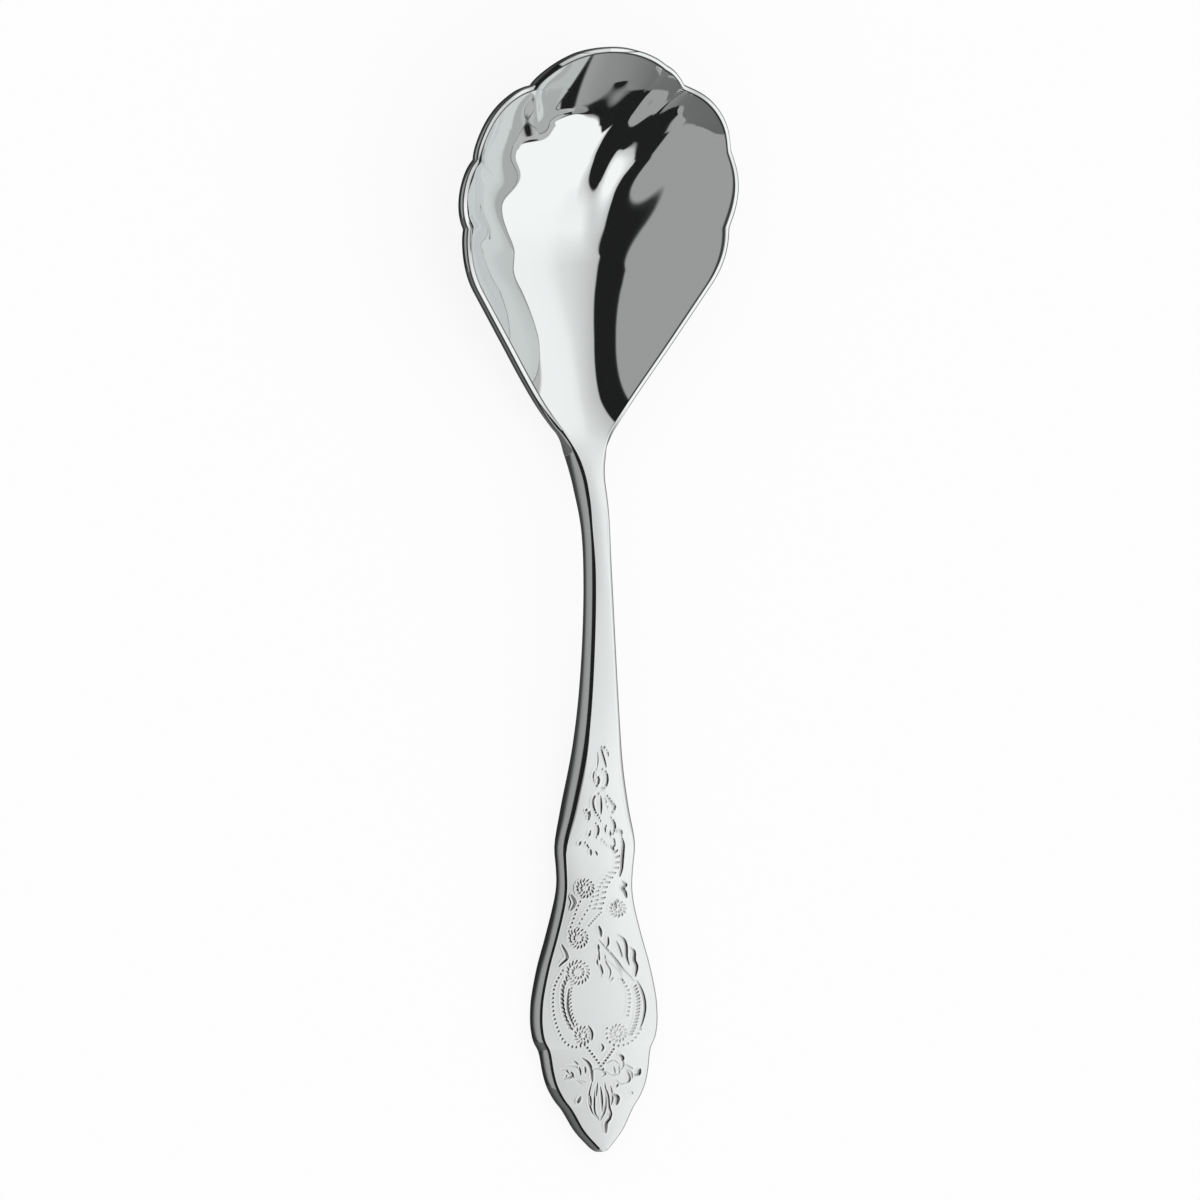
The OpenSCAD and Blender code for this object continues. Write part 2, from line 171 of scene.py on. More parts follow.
# The bowl's straight side, its tangent flank arc and the fillet into the shank
FLANK_X, FLANK_R = FLANK[0] * BOWL_HW, FLANK[2] * BOWL_HW
FLANK_Y = DEEP_Y + FLANK[1] * FRONT_L
SIDE_DX, SIDE_DY = FLANK_X - NECK_W / 2, FLANK_Y - NECK_Y
SIDE_A = math.atan2(SIDE_DX, SIDE_DY) + math.asin(FLANK_R / math.hypot(SIDE_DX, SIDE_DY))
TOUCH_Y = FLANK_Y - FLANK_R * math.sin(SIDE_A)
FILLET_X = ROOT_W / 2 + NECK_R * (1 - math.cos(SIDE_A))
FILLET_Y = NECK_Y - (NECK_W / 2 - FILLET_X) / math.tan(SIDE_A)
ROOT_Y = FILLET_Y - NECK_R * math.sin(SIDE_A)
BOW_POWER = 0.6


def arc_w(x, y, r, at):
    """Half-width that an arc about (x, y) reaches at the stations in at, or 0 beside it."""
    inside = np.maximum(r * r - (at - y) ** 2, 0)
    return np.where(np.abs(at - y) < r, x + np.sqrt(inside), 0)


def flank_half_w(at, inset):
    """The bowl's straight side, slightly bowed, and the arc that it runs into."""
    share = np.clip((at - NECK_Y) / (TOUCH_Y - NECK_Y), 0, 1)
    bow = SIDE_BOW * np.sin(math.pi * share**BOW_POWER)
    side = NECK_W / 2 + (at - NECK_Y) * math.tan(SIDE_A) - inset / math.cos(SIDE_A) + bow
    return np.where(at < TOUCH_Y, side, arc_w(FLANK_X, FLANK_Y, FLANK_R - inset, at))


def front_half_w(at, inset):
    """The front lobe, part of an ellipse."""
    a, b = FRONT_W_SHARE * BOWL_HW - inset, FRONT_L_SHARE * FRONT_L - inset
    v = (at - TIP_Y + FRONT_L_SHARE * FRONT_L) / b
    return np.where(np.abs(v) < 1, a * np.sqrt(np.maximum(1 - v * v, 0)), 0)


def bowl_widths(at, inset, side):
    """Half-widths of the bowl's arcs, each in a row of its own; the outline is the widest."""
    found = [flank_half_w(at, inset), front_half_w(at, inset)]
    for x, y, r in LOBES[side]:
        found.append(arc_w(x * BOWL_HW, DEEP_Y + y * FRONT_L, r * BOWL_HW - inset, at))
    return np.array(found)


def bowl_half_w(at, inset, side):
    return bowl_widths(at, inset, side).max(0)


def half_w(at, side):
    """Half-width of the whole spoon at the stations in at."""
    handle = curve([(s[0] * HANDLE_L, s[1] * HANDLE_W / 2, *s[2:]) for s in HANDLE_SHARES], at)
    shoulder = HANDLE_SHARES[-1][1] * HANDLE_W / 2
    rows = [(mix(SHOULDER_Y, ROOT_Y, s), mix(SLIM_W / 2, shoulder, v)) for s, v in SHANK_SHARES]
    shank = curve(rows + [(ROOT_Y, ROOT_W / 2)], at)
    fillet = ROOT_W / 2 + NECK_R - np.sqrt(np.maximum(NECK_R**2 - (at - ROOT_Y) ** 2, 0))
    w = np.where(at <= SHOULDER_Y, handle, shank)
    w = np.where(at > ROOT_Y, fillet, w)
    return np.where(at > FILLET_Y, bowl_half_w(at, 0, side), w)


def reaches(ux, uy, inset, side):
    """Distances from the deepest point to the bowl's outline arcs along the direction (ux, uy)."""
    def arc(cx, cy, r):
        b = cx * ux + cy * uy
        d = b * b - cx * cx - cy * cy + r * r
        return np.where(d > 0, b + np.sqrt(np.maximum(d, 0)), 0)
    a, b = FRONT_W_SHARE * BOWL_HW - inset, FRONT_L_SHARE * FRONT_L - inset
    c = FRONT_L - FRONT_L_SHARE * FRONT_L
    k = (ux / a) ** 2 + (uy / b) ** 2
    m = uy * c / (b * b)
    d = m * m - k * ((c / b) ** 2 - 1)
    found = [np.where(d > 0, (m + np.sqrt(np.maximum(d, 0))) / k, 0)]
    found.append(arc(FLANK_X, FLANK_Y - DEEP_Y, FLANK_R - inset))
    found += [arc(x * BOWL_HW, y * FRONT_L, r * BOWL_HW - inset) for x, y, r in LOBES[side]]
    return np.array(found)


SOFTNESS, CREASE_POWER = 12, 6    # how tightly the notches are rounded, and how near the rim they crease
BLEND_SHARE = 0.4       # the share of the front's length over which shares across pass into shares around
MIDDLE_BLEND = 0.25     # the sides pass into each other this far from the middle line


def share_out(r, found):
    """Share of the way out, with the notches between the arcs rounded off away from the rim."""
    top = np.maximum(found.max(0), TINY)
    soft = top * np.sum((np.maximum(found, 0) / top) ** SOFTNESS, 0) ** (1 / SOFTNESS)
    sharp = np.clip(r / np.maximum(top, RIM_W), 0, 1)
    return mix(np.clip(r / np.maximum(soft, RIM_W), 0, 1), sharp, sharp**CREASE_POWER)


def outward(x, at, inset, side):
    """Share of the way from the deepest point to the outline: 0 to 1."""
    narrow = np.clip(x / np.maximum(half_w(at, side) - inset, RIM_W), 0, 1)
    across = np.where(at < FILLET_Y, narrow, share_out(x, bowl_widths(at, inset, side)))
    r = np.hypot(x, at - DEEP_Y)
    safe = np.maximum(r, TINY)
    ux, uy = np.where(r > 0, x / safe, 0), np.where(r > 0, (at - DEEP_Y) / safe, 1)
    own, other = share_out(r, reaches(ux, uy, inset, side)), share_out(r, reaches(-ux, uy, inset, -side))
    around = mix(other, own, smooth_step((1 + ux / MIDDLE_BLEND) / 2))
    return mix(across, around, smooth_step((at - DEEP_Y) / (BLEND_SHARE * FRONT_L)))


# The hollow starts ENTRY_L before the neck. The higher a power of the cross-section, the steeper its walls.
ENTRY_L, ENTRY_POWER = 2, 1.7
ENTRY_WALL_POWER, DEEP_WALL_POWER, FRONT_WALL_POWER = 1.8, 2.39, 2.25
WALL_LINE = [
    (0, ENTRY_WALL_POWER), (NECK_Y, ENTRY_WALL_POWER), (DEEP_Y, DEEP_WALL_POWER), (TIP_Y, FRONT_WALL_POWER),
]


def opening(at):
    """How far the hollow has opened: 0 at its start to 1 at the deepest point."""
    s = np.clip((at - NECK_Y + ENTRY_L) / (DEEP_Y - NECK_Y + ENTRY_L), 0, 1)
    return np.sin(math.pi / 2 * s) ** ENTRY_POWER


def edge_gap(x, at, side):
    """Distance from the bowl's outline."""
    r = np.maximum(np.hypot(x, at - DEEP_Y), TINY)
    around = reaches(x / r, (at - DEEP_Y) / r, 0, side).max(0) - r
    across = (half_w(at, side) - x) * math.cos(SIDE_A)
    return mix(across, around, smooth_step((at - DEEP_Y) / (BLEND_SHARE * FRONT_L)))


def bulge(x, at, inset, side):
    """Share of the bowl's depth."""
    return opening(at) * (1 - outward(x, at, inset, side) ** curve(WALL_LINE, at))


def place(s):
    """The point that a pair of shares stands for: across, and along the spoon."""
    return np.array([s[0] * BOWL_HW, DEEP_Y + s[1] * FRONT_L])


RIDGE_START, RIDGE_END = 0.6, 1.2
RIDGE_RISE_POWER, RIDGE_FALL_POWER, RIDGE_FADE_POWER = 5, 3, 1.5
DIP_REACH = 2.6


def ridges(x, at, side):
    """Height of the ridges over the plain hollow."""
    top = np.zeros(np.broadcast(x, at).shape)
    for start, end, share, width in RIDGES:
        p, q = place(start), place(end)
        length = np.linalg.norm(q - p)
        u = (q - p) / length
        s = ((side * x - p[0]) * u[0] + (at - p[1]) * u[1]) / length
        away = (side * x - p[0]) * u[1] - (at - p[1]) * u[0]
        t = np.clip(s, 0, 1)
        shape = (1 - (1 - t) ** RIDGE_RISE_POWER) * (1 - t**RIDGE_FALL_POWER) ** RIDGE_FADE_POWER
        wide = RIDGE_W * width * mix(RIDGE_START, RIDGE_END, t)
        top += RIDGE_H * share * shape * np.exp(-((away / wide) ** 2))
    return np.where(at < NECK_Y, 0, top)


def dip(x, at, side):
    """Depth of the rim's dips."""
    found = np.zeros(np.broadcast(x, at).shape)
    for notch, share in DIPS:
        p = place(notch)
        away = (side * x - p[0]) ** 2 + (at - p[1]) ** 2
        found = np.maximum(found, share * np.exp(-away / DIP_REACH**2))
    return np.where(at < NECK_Y, 0, NOTCH_DIP * found)


def rows_of(start, length, shares, a, b):
    """Rows for curve() over a stretch, from shares of its length and shares of the way from a to b."""
    return [(start + s * length, mix(a, b, v)) for s, v in shares]


# Heights and sizes along the spoon, as rows for curve()
HANDLE_RISE = [(0, 0), (0.12, -0.014), (0.27, -0.03), (0.44, 0.012), (0.65, 0.112), (0.9, 0.262)]
TOP_LINE = (
    rows_of(0, HANDLE_L, HANDLE_RISE, END_H, CREST_H)
    + rows_of(SHOULDER_Y, SHANK_L, [(0.1, 0.5), (0.3, 0.79), (0.48, 0.935), (0.65, 1)], END_H, CREST_H)
    + rows_of(SHOULDER_Y, SHANK_L, [(0.8, 0.1), (0.92, 0.64), (1, 0.98)], CREST_H, NECK_H)
    + rows_of(NECK_Y, BOWL_L, [(0.08, 0.01), (0.24, 0.2), (0.5, 0.5), (0.75, 0.755), (1, 1)], NECK_H, TIP_H)
)
THICK_LINE = [
    (0, END_T), (0.15 * HANDLE_L, mix(END_T, HANDLE_T, 0.5)), (0.43 * HANDLE_L, HANDLE_T),
    (0.65 * HANDLE_L, mix(HANDLE_T, FLARE_T, 0.4)), (0.8 * HANDLE_L, mix(HANDLE_T, FLARE_T, 0.1)),
    (0.9 * HANDLE_L, WAIST_T), (SHOULDER_Y, mix(WAIST_T, FLARE_T, 0.25)),
    (SHOULDER_Y + 0.1 * SHANK_L, FLARE_T), (SHOULDER_Y + 0.24 * SHANK_L, mix(SLIM_T, FLARE_T, 0.85)),
    (SHOULDER_Y + 0.5 * SHANK_L, SLIM_T), (SHOULDER_Y + 0.75 * SHANK_L, SLIM_T),
    (SHOULDER_Y + 0.88 * SHANK_L, NECK_T), (NECK_Y, NECK_T),
    (NECK_Y + 0.12 * BOWL_L, mix(SHELL_T, NECK_T, 0.5)), (NECK_Y + 0.3 * BOWL_L, SHELL_T), (TIP_Y, SHELL_T),
]
EDGE_SHARE = 0.88
EDGE_LINE = [(y, EDGE_SHARE * t) for y, t in THICK_LINE if y < NECK_Y]
EDGE_LINE += [(NECK_Y - 0.055 * SHANK_L, 0.75 * NECK_T), (NECK_Y - 0.01 * SHANK_L, 1.1 * RIM_T)]
EDGE_LINE += [(NECK_Y + 0.2 * BOWL_L, RIM_T), (TIP_Y, RIM_T)]
BEVEL_SLOPE, RIM_BEVEL_W = 0.3, 0.1
BEVEL_LINE = [
    (0, EDGE_W), (0.94 * HANDLE_L, EDGE_W), (SHOULDER_Y, 0.65 * BEVEL_W),
    (SHOULDER_Y + 0.05 * SHANK_L, 0.95 * BEVEL_W), (SHOULDER_Y + 0.12 * SHANK_L, BEVEL_W),
    (SHOULDER_Y + 0.19 * SHANK_L, BEVEL_W), (SHOULDER_Y + 0.3 * SHANK_L, 0.74 * BEVEL_W),
    (SHOULDER_Y + 0.65 * SHANK_L, 0.7 * BEVEL_W), (SHOULDER_Y + 0.76 * SHANK_L, 0.46 * BEVEL_W),
    (SHOULDER_Y + 0.84 * SHANK_L, 1.2 * EDGE_W), (NECK_Y, 1.2 * EDGE_W),
    (NECK_Y + 0.1 * BOWL_L, RIM_BEVEL_W), (TIP_Y, RIM_BEVEL_W),
]
HANDLE_CROWN, SHANK_CROWN = 0.3, 0.05
CROWN_LINE = [
    (0, 0), (0.3 * HANDLE_L, HANDLE_CROWN), (HANDLE_L, HANDLE_CROWN),
    (SHOULDER_Y + 0.3 * SHANK_L, SHANK_CROWN), (SHOULDER_Y + 0.9 * SHANK_L, SHANK_CROWN),
    (NECK_Y, 0), (TIP_Y, 0),
]
KEEL_POWER, SQUARE_POWER = 1.3, 5
POWER_LINE = [
    (0, KEEL_POWER), (0.7 * HANDLE_L, KEEL_POWER), (SHOULDER_Y, SQUARE_POWER), (ROOT_Y, SQUARE_POWER),
    (NECK_Y + 0.15 * BOWL_L, mix(ENTRY_WALL_POWER, DEEP_WALL_POWER, 0.3)),
    (DEEP_Y, DEEP_WALL_POWER), (TIP_Y, FRONT_WALL_POWER),
]
UNDER_RIDGE_SHARE = 0.8


def top_z(x, at, side):
    """Height of the top face, and of the bowl's inside."""
    v = outward(x, at, RIM_W, side)
    z = curve(TOP_LINE, at) + curve(CROWN_LINE, at) * (1 - v * v)
    return z - BOWL_DEPTH * bulge(x, at, RIM_W, side) + ridges(x, at, side) * opening(at) - dip(x, at, side)


def under_z(x, at, side):
    """Height of the underside."""
    v = outward(x, at, 0, side)
    edge = curve(EDGE_LINE, at)
    z = curve(TOP_LINE, at) - edge + UNDER_RIDGE_SHARE * ridges(x, at, side) * opening(at) - dip(x, at, side)
    return z - (curve(THICK_LINE, at) - edge + BOWL_DEPTH * opening(at)) * (1 - v ** curve(POWER_LINE, at))


# How far right of the spoon's middle line the frame's middle is
MIDDLE_X = 0.0095 * BOWL_HW

# Columns across the spoon and stations along it
FIELD_COLUMNS = 100
UNDER_COLUMNS = 24
STRIP_SHARES = (0.06, 0.3, 0.6, 0.88, 0.98)      # columns across the bevel, or across the rim
WALL_TURNS = (60, 50, 40, 30, 20, 8, -5, -20)    # degrees round the edge, from the top down
SIDE_COLUMNS = FIELD_COLUMNS + len(STRIP_SHARES) + len(WALL_TURNS)
HANDLE_STEP, SHANK_STEP, BOWL_STEP = 0.11, 0.35, 0.3
FRONT_STATIONS, LAST_TURN = 130, 89.2
# The edges: their rounding, how far the wall leans in, how steeply the rim falls outwards, the narrowest
# top face, and where the wall turns into the ground rim: this far before the neck, and over this length
EDGE_ROUND, RIM_ROUND = 0.45, 0.3
EDGE_LEAN, RIM_FALL = 0.12, 0.12
LEAST_W = 0.02
RIM_BEFORE, RIM_RISE = 4, 5
# The corners of the handle's outline are rounded over twice CORNER_SOFT, and those of its shoulder more
CORNER_SOFT, SOFT_PAST, SOFT_FADE = 0.4, 4, 3
SHOULDER_SOFT, SHOULDER_REACH = 0.7, 1.6
WALL_GAP, NO_GAP = 0.1, -9.0    # what each column down the rim's wall takes off, and the value underneath


def stations(start, end, spacing):
    count = int(math.ceil((end - start) / spacing))
    return np.linspace(start, end, count + 1)


HANDLE_YS = stations(0, SHOULDER_Y, HANDLE_STEP)
SHANK_YS = stations(SHOULDER_Y, NECK_Y, SHANK_STEP)
FRONT_TURNS = np.radians(np.linspace(0, LAST_TURN, FRONT_STATIONS))
BOWL_YS = np.r_[stations(NECK_Y, DEEP_Y, BOWL_STEP)[:-1], DEEP_Y + FRONT_L * np.sin(FRONT_TURNS)]


def soft_half_w(at, side):
    """The outline with the handle's corners rounded."""
    soft = CORNER_SOFT * smooth_step(at / SOFT_FADE) * smooth_step((SHOULDER_Y + SOFT_PAST - at) / SOFT_FADE)
    soft = soft + SHOULDER_SOFT * np.exp(-(((at - SHOULDER_Y) / SHOULDER_REACH) ** 2))
    return (half_w(at - soft, side) + 2 * half_w(at, side) + half_w(at + soft, side)) / 4


def half_rings(at, side):
    """One side of the rings: x and z of the face from the middle line down the wall, x and z of the
    underside from the middle line out, and the face's distances from the bowl's outline."""
    y = at[:, None]
    bevel = curve(BEVEL_LINE, at)
    drop = bevel * BEVEL_SLOPE
    edge = curve(EDGE_LINE, at)
    rim = smooth_step((at - NECK_Y + RIM_BEFORE) / RIM_RISE)
    lift = curve(TOP_LINE, at)
    w = soft_half_w(at, side)
    most = w / 3
    turn_w, bevel_w = np.minimum(mix(EDGE_ROUND, RIM_ROUND, rim), most), np.minimum(bevel, most)
    top_w = w - turn_w * (1 - math.cos(math.radians(WALL_TURNS[0]))) - bevel_w
    inset = np.where(at > FILLET_Y, bowl_half_w(at, RIM_W, side), w - RIM_W)
    inner = np.clip(mix(top_w, np.minimum(inset, top_w), rim), LEAST_W, None)
    x = inner[:, None] * np.linspace(0, 1, FIELD_COLUMNS + 1)[None]
    field = [x, top_z(x, y, side)]
    share = np.array(STRIP_SHARES)[None]
    on_rim = inner[:, None] + (top_w - inner)[:, None] * share / share[0, -1]
    x = mix(top_w[:, None] + bevel_w[:, None] * share, on_rim, rim[:, None])
    fall = mix(drop[:, None] * share, RIM_FALL * (x - inner[:, None]), rim[:, None])
    strip = [x, lift[:, None] - dip(x, y, side) - fall]
    low = lift - drop - dip(w, at, side) - RIM_FALL * (top_w - inner) * rim
    high_turn, low_turn = math.sin(math.radians(WALL_TURNS[0])), math.sin(math.radians(WALL_TURNS[-1]))
    tall = (edge - drop) / (high_turn - low_turn)
    x, z = [], []
    for turn in WALL_TURNS:
        a = math.radians(turn)
        fall = (high_turn - math.sin(a)) * tall
        lean = EDGE_LEAN * np.maximum(edge - fall - drop, 0) * (1 - rim)
        x.append(w - turn_w * (1 - math.cos(a)) - lean)
        z.append(low - fall)
    wall = [np.stack(x, 1), np.stack(z, 1)]
    under_w = wall[0][:, -1:]
    x = under_w * np.sin(math.pi / 2 * np.linspace(0, 1, UNDER_COLUMNS + 1))[None]
    under = [x, under_z(np.minimum(x / under_w * w[:, None], w[:, None]), y, side)]
    face = [np.concatenate([a[i] for a in (field, strip, wall)], 1) for i in (0, 1)]
    gap = edge_gap(face[0], y, side)
    down = len(WALL_TURNS)
    gap[:, -down:] = gap[:, -down - 1:-down] - WALL_GAP * (1 + np.arange(down))
    return face + under + [gap]


def rings(at):
    """Closed cross-sections at the stations in at, ring by ring: their points, and the distances of their
    faces from the bowl's outline."""
    left, right = half_rings(at, -1), half_rings(at, 1)
    across = [-left[0][:, ::-1], right[0][:, 1:], right[2][:, -2::-1], -left[2][:, 1:-1]]
    height = [left[1][:, ::-1], right[1][:, 1:], right[3][:, -2::-1], left[3][:, 1:-1]]
    x, z = np.concatenate(across, 1), np.concatenate(height, 1)
    gap = np.full(x.shape, NO_GAP)
    gap[:, :2 * SIDE_COLUMNS + 1] = np.concatenate([left[4][:, ::-1], right[4][:, 1:]], 1)
    return np.stack([x, np.broadcast_to(at[:, None], x.shape), z], -1), gap


def spoon_points():
    """The whole spoon's rings in one array, standing on the table over the origin."""
    at = np.r_[HANDLE_YS[:-1], SHANK_YS[:-1], BOWL_YS]
    points, gap = rings(at)
    points[..., 2] -= points[..., 2].min()
    points[..., 0] -= MIDDLE_X
    points[..., 1] -= TIP_Y / 2
    return points, gap


def point_normals(points):
    """Normal of the surface at each point of the rings, from its neighbours along and across."""
    along = np.gradient(points, axis=0)
    across = np.roll(points, -1, 1) - np.roll(points, 1, 1)
    normals = np.cross(across, along)
    length = np.linalg.norm(normals, axis=-1, keepdims=True)
    return normals / np.maximum(length, TINY)


# The scrolls, leaves and blossoms struck into the handle. Each stroke is a weight and the points that
# it runs through, in the photograph's pixels.
TOP_FLOURISH = [
    (0.8, (600.6, 746.3), (601.3, 751.3), (603.8, 760), (606, 767.8)),
    (0.35, (596.9, 751.3), (597.5, 760), (596.9, 766.9)),
    (0.9, (602.5, 747.5), (605, 745.5)),
    (0.6, (606, 749.5), (607, 752), (608, 755.6)),
    (0.9, (601.3, 768.8), (605.6, 772.5), (606.9, 778.8), (605.6, 785), (601.9, 788.1), (598.8, 788.8)),
    (0.4, (597.5, 767.8), (593.8, 771.3), (592.5, 777.5), (594.2, 782.5)),
    (0.9, (595.6, 775), (598.1, 778.8), (597.5, 783.1), (595, 786.3)),
]
TOP_LEAF = [
    (0.8, (599.4, 792.5), (593.8, 796.3), (592.3, 803.1), (594.4, 811.3), (598.1, 816.9), (600.6, 821.3)),
    (0.8, (600.3, 796.3), (600.6, 805), (600.6, 814.4)),
    (1.0, (605, 793.8), (608.8, 798.8), (611.9, 803.1), (614.4, 806.3), (613.1, 810), (610, 813.8)),
    (0.5, (604, 798), (606, 802)), (0.5, (605, 804), (608, 808)),
    (1.1, (585, 810), (588.6, 814), (588.1, 819.4)),
    (1.0, (610, 816.9), (613.1, 821.3), (614.4, 827.5), (612.5, 833.8)),
    (0.9, (595, 823.1), (597.5, 827.5), (597.5, 832.5), (595.6, 836.9)),
    (0.8, (590, 831.3), (587.8, 836.3)), (0.7, (606.3, 824.4), (604.4, 828), (605, 832)),
    (0.8, (578.1, 845), (580.3, 841.3)), (0.6, (583.8, 841.9), (585.6, 844.6), (588.8, 848.1)),
    (0.8, (589.8, 849), (590.6, 855)), (0.7, (594.6, 850.6), (596.9, 855)),
    (0.5, (597.5, 837.5), (602, 840.2), (606.9, 846.3)),
    (0.9, (609.6, 831), (610, 836)), (0.8, (613, 838), (614.4, 842.5)), (1.0, (610, 845), (613.8, 851)),
    (0.9, (615.5, 832), (617.6, 829.4), (620.8, 831), (621.2, 836)),
]
LONG_SCROLL = [
    (1.2, (621.3, 836.5), (623.1, 843.8), (622.5, 852.5), (621.9, 860), (621.3, 868.8), (619.4, 876.3)),
    (1.3, (570.6, 895), (574.2, 902.5), (570.6, 909.4)),
    (1.4, (622.5, 880.6), (625.4, 884.6), (622.7, 888.1), (625, 892.5), (626.3, 897.5)),
    (1.0, (617, 899), (614.6, 904), (616, 908)),
]
LEAF_SPRAY = [
    (1.1, (598.1, 925.6), (600, 931.3), (600.6, 936.3)),
    (0.8, (598.1, 939.4), (605, 947.5), (615, 958.8), (622.5, 968.8), (630, 976.3), (633.8, 981.3)),
    (0.7, (615.6, 940), (618.8, 947.5), (621.9, 957.5)),
    (1.1, (617.5, 933.8), (623.1, 938.8), (625.6, 945), (626.3, 957.5), (628.8, 965)),
    (1.3, (630, 946.9), (633.8, 951.3), (633.8, 960), (636.3, 966.3), (635, 976.3)),
    (0.8, (607.5, 936.3), (607.5, 943.8), (605.6, 946.9)),
    (0.8, (597.4, 944), (598.2, 950)), (0.7, (597.8, 954), (599, 960)), (0.8, (599.6, 964), (602.4, 974)),
    (0.4, (602.5, 956.3), (611.3, 963.8), (617.5, 970), (622.5, 978.8)),
    (0.5, (610, 981), (613, 976.5)), (0.8, (619.8, 977.6), (623.1, 981.6)),
]
RIGHT_SCROLL = [
    (1.0, (636.3, 980), (641.3, 990), (644, 1000), (644.4, 1010), (642.5, 1020), (640, 1027.5)),
]
LEFT_SCROLL = [
    (1.1, (568.8, 987.5), (567.5, 997.5), (567.5, 1007.5), (570, 1017.5), (573.8, 1026.3)),
    (0.9, (587.5, 1025), (591.3, 1032.5), (591.3, 1040)),
    (1.0, (561.3, 944.5), (566.6, 957), (562, 962), (558.3, 966)),
]
BLOSSOMS = [
    (0.8, (600.6, 1043.1), (602.5, 1047.5), (600.6, 1051.3)),
    (1.1, (581.3, 1057.5), (587.5, 1062.5), (590.6, 1068.8), (591.9, 1081.3)),
    (0.6, (578.8, 1066.5), (580.4, 1075)), (0.6, (584.4, 1066), (585, 1073)),
    (0.9, (570, 1071.3), (572.2, 1075), (569, 1077), (563.8, 1077.5)), (0.5, (560, 1068.8), (567.5, 1070)),
    (0.4, (574, 1079), (582, 1084)), (0.5, (566.5, 1074.5), (564, 1079)),
    (0.8, (591.3, 1068.8), (598, 1068.4), (605, 1073), (601.9, 1076.3)),
    (1.3, (618.8, 1053.8), (622.3, 1058), (621.6, 1060.6)), (0.8, (625, 1063.8), (632.5, 1068.8)),
    (1.5, (633.8, 1075), (638, 1073.8), (639.6, 1068.8)),
    (0.9, (626.3, 1070), (629.4, 1077.5), (627.5, 1081.9), (623.8, 1082.5)),
    (0.8, (617.6, 1083.4), (615.8, 1087)), (0.5, (613, 1065), (615, 1075)),
    (0.5, (618.5, 1065), (619, 1074)),
]
PENDANT = [
    (0.6, (595, 1086.3), (593.8, 1097.5), (594.4, 1112.5), (598.8, 1118.8)),
    (0.7, (600, 1086.3), (601.3, 1098.8), (601.9, 1111.3)),
    (0.8, (603.8, 1085), (607.5, 1095), (608.8, 1107.5), (610.6, 1115), (605.8, 1122.5), (605.6, 1132.5)),
    (1.3, (609.6, 1112), (609.6, 1117), (605.8, 1122.5), (605.6, 1132.5)),
    (0.8, (589.4, 1095), (590.6, 1105)), (1.5, (612.5, 1093.1), (617.2, 1097.5), (616.3, 1104.4)),
    (0.7, (604, 1104), (603.6, 1112), (600, 1117)),
    (1.2, (580, 1096.3), (576.9, 1102.5)), (0.6, (631, 1091), (632.4, 1094)),
]
PETALS = [
    (0.6, (563.6, 1069), (573.8, 1077.6)), (0.6, (566.5, 1064.5), (576.7, 1067.4), (580.2, 1073.3)),
    (0.6, (572.3, 1060), (578, 1064.5)), (0.5, (576.7, 1079), (585.4, 1082)),
    (0.6, (586.8, 1063), (591.2, 1071.8), (589.8, 1079)),
    (0.6, (605.7, 1063), (613, 1060), (618.8, 1064.5)),
    (0.6, (604.3, 1070.3), (611.6, 1074.7), (618.8, 1073.3)),
    (0.6, (620.3, 1057), (623.2, 1064.5), (620.3, 1070.3)),
    (0.6, (623.2, 1067.4), (630.5, 1071.8), (632, 1079)),
    (0.6, (614.5, 1079), (620.3, 1083.5), (626, 1082)),
    (0.6, (591.2, 1082), (588.3, 1096.6), (591.2, 1111.2), (598.5, 1120)),
    (0.5, (597, 1082), (595.6, 1096.6)),
    (0.6, (604.3, 1082), (605.7, 1096.6), (604.3, 1111.2), (600, 1120)),
    (0.6, (610, 1085), (612, 1096.6), (611, 1105)),
    (0.6, (597, 945), (598.5, 953.7), (596.4, 962.5), (600, 968.3), (601.4, 977)),
    (0.6, (604.3, 953.7), (605.7, 962.5), (610, 971), (608.7, 978.5)),
    (0.5, (610, 950.8), (616, 962.5), (621.7, 974)),
]
# Rows of short cuts: weight, how many, the length and the lean of each cut, and the line they follow
CUT_ROWS = [
    (0.9, 13, 5.0, 70, (613, 846), (617, 856), (616, 867), (610, 877), (604, 888), (602, 900), (599, 908)),
    (0.6, 10, 4.0, 70, (609, 872), (602, 880), (597, 889), (596, 899), (593, 908)),
    (0.5, 9, 2.4, 80, (592, 896), (589, 905), (583, 915), (577, 926), (574, 932)),
    (0.5, 9, 2.4, 70, (581, 897), (576, 908), (572, 920), (568, 931)),
    (0.5, 7, 2.4, 80, (600, 912), (595, 917), (588, 925)),
    (
        0.6, 24, 2.2, 90, (562, 970), (554, 985), (551.9, 1000), (553.1, 1015), (557.5, 1030),
        (563.8, 1041.3), (572.5, 1046.6), (584, 1045),
    ),
    (0.9, 13, 5.4, -35, (566, 978), (562.5, 986), (561.5, 996), (562, 1006), (565, 1018), (570, 1028)),
    (0.5, 12, 3.0, 60, (571, 984), (569.5, 996), (570, 1006), (572, 1016), (576, 1024)),
    (0.8, 16, 4.6, 60, (634.5, 986), (637.5, 997), (637.5, 1010), (634.5, 1024), (630, 1034)),
    (0.7, 9, 3.0, 100, (623.1, 982.5), (627.5, 990), (628.8, 997.5), (628.1, 1007.5), (626.9, 1015)),
    (0.7, 12, 2.4, 60, (640, 1029), (634, 1038), (625, 1044), (614, 1045), (606.5, 1038), (606, 1028)),
    (0.9, 9, 2.4, -55, (586.3, 1047.5), (597.5, 1062.5), (604, 1072)),
    (0.9, 6, 2.2, 50, (612.5, 1049), (602.5, 1063)),
]
